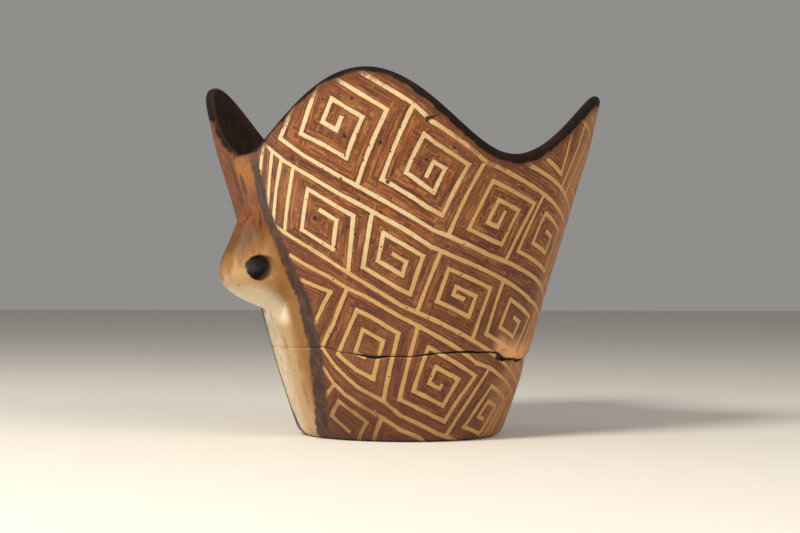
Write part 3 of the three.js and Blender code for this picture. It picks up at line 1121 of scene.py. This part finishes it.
def dark_band(g):
    band = g.mix(g.ramp(g.smear, 0.4, 0.65), BAND_DARK, BAND_BROWN)
    band = g.mix(g.ramp(g.grain, 0.5, 0.8, 0, 0.4), band, BAND_RED)
    return g.mix(g.ramp(g.patch, 0.5, 0.66, 0, 0.6), band, BAND_WORN)


def with_rubbing_and_sheen(g, surface):
    """The body's right side, where the pattern fades, partly worn and partly painted sheen, and a
    rubbed patch over the crack.
    """
    # Painted sheen with some wear: towards the right side the pattern fades to a pale brown
    turned_low = g.plus(g.bearing, g.ramp(g.height, 38, 26, 0, 14))
    faint = g.times(g.ramp(turned_low, 58, 74), g.fade(g.bearing, 92, 110))
    faint = g.times(faint, g.ramp(g.patch, 0.3, 0.65, 0.35, 0.85))
    surface = g.mix(faint, surface, FAINT_BROWN)
    above = g.times(g.ramp(g.over_crack, 0.2, 0.8), g.fade(g.over_crack, 2.2, 10.5))
    beside = g.times(g.ramp(g.bearing, 40, 48), g.fade(g.bearing, 70, 82))
    rubbed = g.times(above, beside, g.ramp(g.patch, 0.35, 0.6, 0.6, 1))
    return g.mix(rubbed, surface, RUBBED_PEACH)


def with_marks(g, surface):
    """Pale flecks and dark specks all over, the pits and the chips. Also gives the specks."""
    fleck = g.times(g.fade(g.spots(0.16), 0.05, 0.11), g.ramp(g.grain, 0.45, 0.6))
    surface = g.mix(g.times(fleck, 0.5), surface, FLECK_PALE)
    speck = g.times(g.fade(g.spots(0.3), 0.08, 0.17), g.ramp(g.wobble, 0.48, 0.56))
    surface = g.mix(g.times(speck, 0.85), surface, SPECK_DARK)

    aside, above, pit_radius = g.places("pit_place")
    from_middle = g.math("SQRT", g.plus(g.times(aside, aside), g.times(above, above)))
    from_pit = g.plus(g.minus(from_middle, pit_radius), g.waver(g.grain, 0.25))
    surface = g.mix(g.fade(from_pit, -0.3, 0.15, 0.95), surface, PIT_DARK)

    chip_side, chip_end, _ = g.places("chip_place")
    chip_widths = (0.55 * CHIP_HALF_WIDTH, 1.3 * CHIP_HALF_WIDTH)
    chip = g.larger(g.math("ABSOLUTE", chip_side), chip_end)
    chip = g.minus(chip, g.ramp(g.wobble, 0.3, 0.7, *chip_widths))
    surface = g.mix(g.fade(chip, 0.0, 0.5, 0.5), surface, BROWN_PALE)
    return g.mix(g.fade(chip, -0.15, 0.1, 0.96), surface, CHIP_DARK), speck


def with_crack(g, surface):
    gap = g.attribute("crack_gap")
    from_edge = g.minus(g.math("ABSOLUTE", g.over_crack), g.times(gap, 0.5))
    colour = g.mix(g.ramp(gap, 0.25, 0.6), CRACK_BROWN, CRACK_DARK)
    cracked = g.times(g.fade(from_edge, -0.12, 0.08), g.ramp(gap, 0.09, 0.35, 0, 0.95))
    return g.mix(cracked, surface, colour)


def with_lip(g, surface):
    """The dark lip, narrow over the panel and wide to the right. Also gives a mask of it."""
    wide = g.times(g.ramp(g.bearing, -8, 8, 0, 1.7), g.fade(g.bearing, 250, 285))
    edge = g.minus(g.plus(g.below_rim, g.ramp(g.panel, 3, -2, 0, 1.7)), wide)
    edge = g.plus(edge, g.waver(g.patch, 0.5))
    worn_rim = g.plus(edge, g.waver(g.wobble, 1.2))
    surface = g.mix(g.fade(worn_rim, 2.4, 6.4, 0.85), surface, RIM_BROWN)
    on_lip = g.fade(edge, 1.5, 2.8)
    lip = g.mix(g.ramp(g.patch, 0.4, 0.7), LIP_BLACK, LIP_BROWN)
    return g.mix(on_lip, surface, lip), on_lip


def clay_material():
    g = Clay()
    painted, on_line, streak = brush_work(g)
    edge_wobble = g.waver(g.wobble, 0.6)
    on_band = g.fade(g.plus(g.attribute("past_band"), edge_wobble), -1.3, 0.8)
    surface = g.mix(on_band, painted, dark_band(g))
    on_panel = g.fade(g.plus(g.panel, edge_wobble), -1.0, 0.7)
    surface = g.mix(on_panel, surface, bare_panel(g, edge_wobble))
    # Painted shade deep inside the lug's hole
    surface = g.mix(g.times(g.attribute("painted_hole_shade"), 0.94), surface, HOLE_SHADE_COLOUR)
    surface = with_rubbing_and_sheen(g, surface)
    surface, speck = with_marks(g, surface)
    surface = with_crack(g, surface)
    surface, on_lip = with_lip(g, surface)

    mottled = g.ramp(g.patch, 0.35, 0.65)
    is_inside = g.attribute("inside")
    surface = g.mix(g.attribute("under"), surface, g.mix(mottled, UNDER_PALE, UNDER_BROWN))
    surface = g.mix(is_inside, surface, g.mix(mottled, LIP_BROWN, INSIDE_BROWN))
    surface = g.mix(g.ramp(g.fine, 0.3, 0.7, 0.0, 0.16), surface, GRIME)

    roughness = g.ramp(g.plus(g.grain, g.times(on_line, 0.15)), 0.3, 0.8, 0.42, 0.62)
    roughness = g.blend(g.larger(is_inside, on_lip), roughness, DULL_ROUGHNESS)
    relief = g.plus(g.times(g.grain, 0.4), g.times(g.fine, 0.25))
    relief = g.plus(g.minus(relief, g.times(speck, 0.5)), g.times(streak, 0.3))
    normal = g.node(
        "Bump", {"Strength": BUMP_STRENGTH, "Distance": BUMP_DEPTH * MM, "Height": relief}
    )
    shader = g.node("BsdfPrincipled", {
        "Base Color": surface,
        "Roughness": roughness,
        "Normal": normal,
        "Specular IOR Level": SPECULAR_LEVEL,
    })
    g.links.new(shader, g.nodes.new("ShaderNodeOutputMaterial").inputs["Surface"])
    return g.material


opened.materials.clear()
opened.materials.append(clay_material())

# Stage: a plain pale floor, soft lights and the camera, in metres
FLOOR_REACH = 4.0
FLOOR_COLOUR = (0.72, 0.70, 0.66, 1)
FLOOR_ROUGHNESS = 0.8
WORLD_COLOUR = (0.80, 0.78, 0.75, 1)
WORLD_STRENGTH = 0.35
LIGHT_AIM = Vector((0, 0, 0.07))
# Each light's name, azimuth off the camera's, distance, height, size, power and colour
LIGHTS = [
    ("key", -36, 0.85, 0.75, 0.35, 14, (1.0, 0.92, 0.80)),
    ("side", -96, 0.8, 0.06, 0.4, 3.0, (1.0, 0.95, 0.88)),
    ("fill", 50, 1.3, 0.7, 0.9, 9, (1.0, 0.91, 0.80)),
]

floor_corners = [(-1, -1), (1, -1), (1, 1), (-1, 1)]
floor_spots = [(FLOOR_REACH / MM * x, FLOOR_REACH / MM * y, 0) for x, y in floor_corners]
floor = mesh_object("floor", floor_spots, [(0, 1, 2, 3)], floor_corners)
pale = bpy.data.materials.new("pale_floor")
pale.use_nodes = True
pale_shader = pale.node_tree.nodes["Principled BSDF"]
pale_shader.inputs["Base Color"].default_value = FLOOR_COLOUR
pale_shader.inputs["Roughness"].default_value = FLOOR_ROUGHNESS
floor.data.materials.append(pale)


def around_cup(azimuth, distance, height):
    turn = math.radians(azimuth)
    return Vector((distance * math.sin(turn), -distance * math.cos(turn), height))


for name, off_camera, distance, light_height, size, power, colour in LIGHTS:
    light = bpy.data.lights.new(name, "AREA")
    light.shape = "DISK"
    light.size = size
    light.energy = power
    light.color = colour
    lamp = new_object(name, light)
    lamp.location = around_cup(CAMERA_AZIMUTH + off_camera, distance, light_height)
    lamp.rotation_euler = (LIGHT_AIM - lamp.location).to_track_quat("-Z", "Y").to_euler()

world = bpy.data.worlds.new("studio")
world.use_nodes = True
background = world.node_tree.nodes["Background"]
background.inputs["Color"].default_value = WORLD_COLOUR
background.inputs["Strength"].default_value = WORLD_STRENGTH
bpy.context.scene.world = world
bpy.context.scene.view_settings.view_transform = "Standard"

camera = bpy.data.cameras.new("camera")
camera.sensor_width = SENSOR_WIDTH
camera.lens = FOCAL_PIXELS * SENSOR_WIDTH / IMAGE_WIDTH
camera_object = new_object("camera", camera)
sidestep = around_cup(CAMERA_AZIMUTH + 90, CAMERA_SIDESTEP, 0)
camera_object.location = around_cup(CAMERA_AZIMUTH, CAMERA_DISTANCE, CAMERA_HEIGHT) + sidestep
aim = Vector((0, 0, AIM_HEIGHT)) + sidestep - camera_object.location
roll = Quaternion((0, 0, 1), math.radians(CAMERA_ROLL))
camera_object.rotation_euler = (aim.to_track_quat("-Z", "Y") @ roll).to_euler()
bpy.context.scene.camera = camera_object
